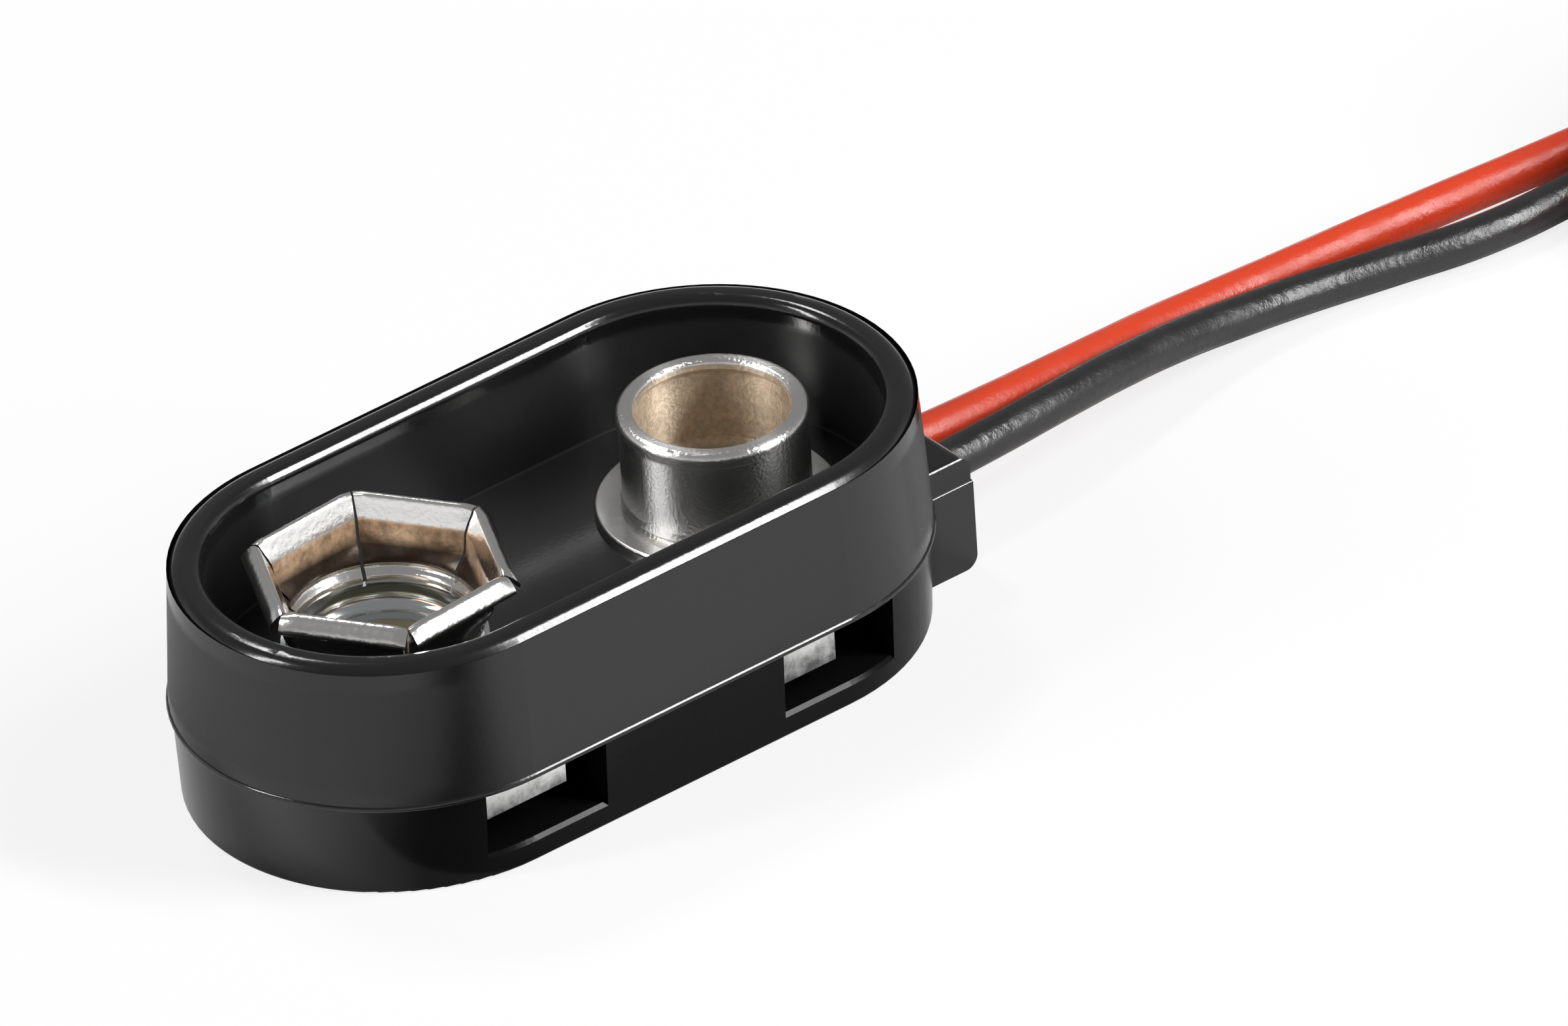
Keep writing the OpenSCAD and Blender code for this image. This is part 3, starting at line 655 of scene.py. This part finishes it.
# The socket's cup. The lower part of the socket, drawn round from one strip with a rounded bottom
# and riveted through its middle. It is turned here from its section.
cup_section = [
    (1.2, 0.28), (2.37, 0.28), (2.56, 0.318), (2.72, 0.426), (2.83, 0.589), (2.87, 0.78), (2.87, 1.02),
    (3.12, 1.02), (3.12, 0.78), (3.06, 0.48), (2.89, 0.226), (2.65, 0.062), (2.37, 0.0), (1.2, 0.0),
]
cup_sides = 72
cup_rows = len(cup_section)
corners = []
faces = []
for k in range(cup_sides):
    a = math.tau * k / cup_sides
    row, next_row = k * cup_rows, (k + 1) % cup_sides * cup_rows
    for i, (r, z) in enumerate(cup_section):
        corners.append((socket_x + r * math.cos(a) / 1000, r * math.sin(a) / 1000, deck + z / 1000))
        after = (i + 1) % cup_rows
        faces.append((row + i, row + after, next_row + after, next_row + i))
cup = bpy.data.objects.new("socket_cup", bpy.data.meshes.new("socket_cup"))
cup.data.from_pydata(corners, [], faces)
bpy.context.scene.collection.objects.link(cup)
bpy.context.view_layer.objects.active = cup
cup.select_set(True)
bpy.ops.object.shade_smooth_by_angle(angle=math.radians(50))
cup.select_set(False)
cup.data.materials.append(cup_plating)
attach(cup, "root")
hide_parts("socket_contact")

# The six petals. The strip is slit at the corners: a bead, a flat that leans out a little, a flare,
# and a lip folded outwards into a short skirt with square ends. One is formed here from its section
# and copied round. A row of the section is a radius, a height and how flat the strip is there.
petal_section = [
    (2.868, 1.0, 0), (2.83, 1.05, 0), (2.775, 1.12, 0), (2.73, 1.2, 0), (2.706, 1.28, 0),
    (2.7, 1.35, 0), (2.71, 1.42, 0), (2.75, 1.48, 0), (2.81, 1.525, 0), (2.88, 1.56, 0),
    (2.935, 1.61, 0), (2.955, 1.68, 0), (2.94, 1.75, 0), (2.91, 1.81, 0), (2.895, 1.88, 0.05),
    (2.895, 2.0, 0.3), (2.905, 2.15, 0.6), (2.915, 2.3, 0.85), (2.925, 2.45, 0.97), (2.935, 2.6, 1),
    (2.945, 2.75, 1), (2.953, 2.86, 1), (2.963, 2.95, 1), (2.978, 3.04, 1), (3.01, 3.13, 1),
    (3.053, 3.23, 1), (3.103, 3.34, 1), (3.153, 3.45, 1), (3.198, 3.55, 1), (3.232, 3.63, 1),
    (3.262, 3.7, 1), (3.288, 3.75, 1), (3.324, 3.785, 1), (3.365, 3.795, 1), (3.415, 3.79, 1),
    (3.475, 3.77, 1), (3.535, 3.739, 1), (3.579, 3.706, 1), (3.62, 3.669, 1), (3.658, 3.63, 1),
    (3.693, 3.588, 1), (3.726, 3.544, 1), (3.757, 3.498, 1), (3.785, 3.451, 1), (3.808, 3.403, 1),
    (3.83, 3.354, 1), (3.835, 3.31, 1), (3.815, 3.27, 1), (3.77, 3.25, 1),
]
last_row = len(petal_section) - 1
petals_turn = 34
half_angle = math.radians(30)
slit_w, slit_narrows = 0.055, 0.015
square_from = 3.5
corner_droop, corner_from = 0.06, 0.84
bpy.ops.mesh.primitive_grid_add(x_subdivisions=24, y_subdivisions=last_row, size=2)
petal = bpy.context.active_object
for corner in petal.data.vertices:
    share = corner.co.x
    r, z, flatness = petal_section[round((corner.co.y + 1) / 2 * last_row)]
    slit = slit_w - slit_narrows * ease((z - 2.9) / 0.7)
    turn = share * (half_angle - slit / r)
    half_w = min(r, square_from) * math.tan(half_angle) - slit
    x = (1 - flatness) * r * math.cos(turn) + flatness * r
    y = (1 - flatness) * r * math.sin(turn) + flatness * share * half_w
    near_corner = ease((abs(share) - corner_from) / (1 - corner_from))
    droop = corner_droop * flatness * near_corner * ease((z - 3.3) / 0.4)
    corner.co = (x / 1000, y / 1000, (z - droop) / 1000)
bpy.ops.object.mode_set(mode="EDIT")
bpy.ops.mesh.select_all(action="SELECT")
bpy.ops.mesh.normals_make_consistent(inside=False)
bpy.ops.object.mode_set(mode="OBJECT")
if petal.data.polygons[0].normal.x > 0:
    petal.data.flip_normals()
wall = petal.modifiers.new("wall", "SOLIDIFY")
wall.thickness = 0.00013
wall.offset = -1
bpy.ops.object.modifier_apply(modifier="wall")
bpy.ops.object.shade_smooth_by_angle(angle=math.radians(40))
petal.select_set(False)
for k in range(6):
    turn = Matrix.Rotation(math.radians(petals_turn + 60 * k), 4, "Z")
    copy = bpy.data.objects.new(f"socket_petal_{k + 1}", petal.data.copy())
    bpy.context.scene.collection.objects.link(copy)
    copy.data.transform(Matrix.Translation((socket_x, 0, deck)) @ turn)
    copy.data.materials.append(socket_plating)
    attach(copy, "root")
    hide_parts("socket_contact")
bpy.data.objects.remove(petal)

# The table and the light. A pale table in a white surround that the gloss sees dimmed overhead and
# on the far side, with a tall strip lamp at the front right, a small one high at the back and a
# narrow one at the left, as in a small product studio.
bpy.ops.mesh.primitive_plane_add(size=4, location=(0, 0, 0))
table = bpy.context.active_object
table.name = "table"
table_white = bpy.data.materials.new("table_white")
table_white.use_nodes = True
tree = table_white.node_tree
shader = tree.nodes["Principled BSDF"]
shader.inputs["Base Color"].default_value = (0.85, 0.85, 0.85, 1)
shader.inputs["Roughness"].default_value = 0.9
shader.inputs["Specular IOR Level"].default_value = 0.0
paper = tree.nodes.new("ShaderNodeEmission")
paper.inputs["Strength"].default_value = 1.0
rays = tree.nodes.new("ShaderNodeLightPath")
amount = tree.nodes.new("ShaderNodeMath")
amount.operation = "MULTIPLY"
amount.inputs[1].default_value = 0.8
join = tree.nodes.new("ShaderNodeMixShader")
tree.links.new(rays.outputs["Is Camera Ray"], amount.inputs[0])
tree.links.new(amount.outputs["Value"], join.inputs["Fac"])
tree.links.new(shader.outputs["BSDF"], join.inputs[1])
tree.links.new(paper.outputs["Emission"], join.inputs[2])
tree.links.new(join.outputs["Shader"], tree.nodes["Material Output"].inputs["Surface"])
table.data.materials.append(table_white)

world = bpy.data.worlds.new("studio")
world.use_nodes = True
bpy.context.scene.world = world
tree = world.node_tree
rays = tree.nodes.new("ShaderNodeLightPath")
sky = tree.nodes.new("ShaderNodeTexCoord")
far_side = tree.nodes.new("ShaderNodeVectorMath")
far_side.operation = "DOT_PRODUCT"
far_side.inputs[1].default_value = (0.602, 0.799, 0)
dimmed = 0.26
dim_side = tree.nodes.new("ShaderNodeMapRange")
dim_side.interpolation_type = "SMOOTHSTEP"
dim_side.inputs["From Min"].default_value = 0.25
dim_side.inputs["From Max"].default_value = 0.75
dim_side.inputs["To Min"].default_value = 1.0
dim_side.inputs["To Max"].default_value = dimmed
split = tree.nodes.new("ShaderNodeSeparateXYZ")
dim_top = tree.nodes.new("ShaderNodeMapRange")
dim_top.interpolation_type = "SMOOTHSTEP"
dim_top.inputs["From Min"].default_value = 0.12
dim_top.inputs["From Max"].default_value = 0.55
dim_top.inputs["To Min"].default_value = 1.0
dim_top.inputs["To Max"].default_value = dimmed
backdrop = tree.nodes.new("ShaderNodeMath")
backdrop.operation = "MINIMUM"
mirrored = tree.nodes.new("ShaderNodeMath")
mirrored.operation = "MAXIMUM"
for_gloss = tree.nodes.new("ShaderNodeMix")
for_gloss.inputs["A"].default_value = 0.08
for_view = tree.nodes.new("ShaderNodeMix")
for_view.inputs["B"].default_value = 1.0
link = tree.links.new
link(sky.outputs["Generated"], far_side.inputs[0])
link(sky.outputs["Generated"], split.inputs["Vector"])
link(far_side.outputs["Value"], dim_side.inputs["Value"])
link(split.outputs["Z"], dim_top.inputs["Value"])
link(dim_side.outputs["Result"], backdrop.inputs[0])
link(dim_top.outputs["Result"], backdrop.inputs[1])
link(rays.outputs["Is Glossy Ray"], mirrored.inputs[0])
link(rays.outputs["Is Transmission Ray"], mirrored.inputs[1])
link(mirrored.outputs["Value"], for_gloss.inputs["Factor"])
link(backdrop.outputs["Value"], for_gloss.inputs["B"])
link(rays.outputs["Is Camera Ray"], for_view.inputs["Factor"])
link(for_gloss.outputs["Result"], for_view.inputs["A"])
link(for_view.outputs["Result"], tree.nodes["Background"].inputs["Strength"])
tree.nodes["Background"].inputs["Color"].default_value = (1, 1, 1, 1)
lamp_distance = 0.5


def soft_lamp(name, direction, along, width, length, power):
    lamp = bpy.data.lights.new(name, "AREA")
    lamp.shape = "RECTANGLE"
    lamp.size = width
    lamp.size_y = length
    lamp.energy = power
    holder = bpy.data.objects.new(name, lamp)
    bpy.context.scene.collection.objects.link(holder)
    out = Vector(direction).normalized()
    side = Vector(along).cross(out).normalized()
    turn = Matrix((side, out.cross(side), out)).transposed()
    holder.matrix_world = Matrix.Translation(out * lamp_distance) @ turn.to_4x4()


soft_lamp("strip_lamp", (0.504, -0.6, 0.63), (0, 0.72, 0.69), width=0.055, length=0.42, power=2.7)
soft_lamp("high_lamp", (0.04, 0.53, 0.85), (1, 0, 0), width=0.06, length=0.13, power=0.6)
soft_lamp("left_lamp", (-0.785, 0.29, 0.545), (0, 0, 1), width=0.05, length=0.3, power=1.2)

# The dark card. It lies before the socket end's left front and shows only in the wall's gloss, where
# it gives the round end its soft dark band.
card_x = -0.0095
bpy.ops.mesh.primitive_plane_add(size=0.03, location=(card_x, -0.0215, 0.0001))
card = bpy.context.active_object
card.name = "dark_card"
card_black = bpy.data.materials.new("card_black")
card_black.use_nodes = True
tree = card_black.node_tree
shader = tree.nodes["Principled BSDF"]
shader.inputs["Base Color"].default_value = (0.03, 0.03, 0.03, 1)
shader.inputs["Roughness"].default_value = 0.9
place = tree.nodes.new("ShaderNodeTexCoord")
split = tree.nodes.new("ShaderNodeSeparateXYZ")
middle = tree.nodes.new("ShaderNodeMath")
middle.operation = "ADD"
middle.inputs[1].default_value = -card_x
off_middle = tree.nodes.new("ShaderNodeMath")
off_middle.operation = "ABSOLUTE"
fade = tree.nodes.new("ShaderNodeMapRange")
fade.interpolation_type = "SMOOTHSTEP"
fade.inputs["From Min"].default_value = 0.0
fade.inputs["From Max"].default_value = 0.0075
fade.inputs["To Min"].default_value = 1.0
fade.inputs["To Max"].default_value = 0.0
link = tree.links.new
link(place.outputs["Object"], split.inputs["Vector"])
link(split.outputs["X"], middle.inputs[0])
link(middle.outputs["Value"], off_middle.inputs[0])
link(off_middle.outputs["Value"], fade.inputs["Value"])
link(fade.outputs["Result"], shader.inputs["Alpha"])
card.data.materials.append(card_black)
card.visible_camera = False
card.visible_diffuse = False
card.visible_shadow = False
bpy.ops.object.transform_apply(location=True, rotation=False, scale=False)
card.select_set(False)

# The end. The picture shows colours as they are, with no film curve.
bpy.context.scene.view_settings.view_transform = "Standard"
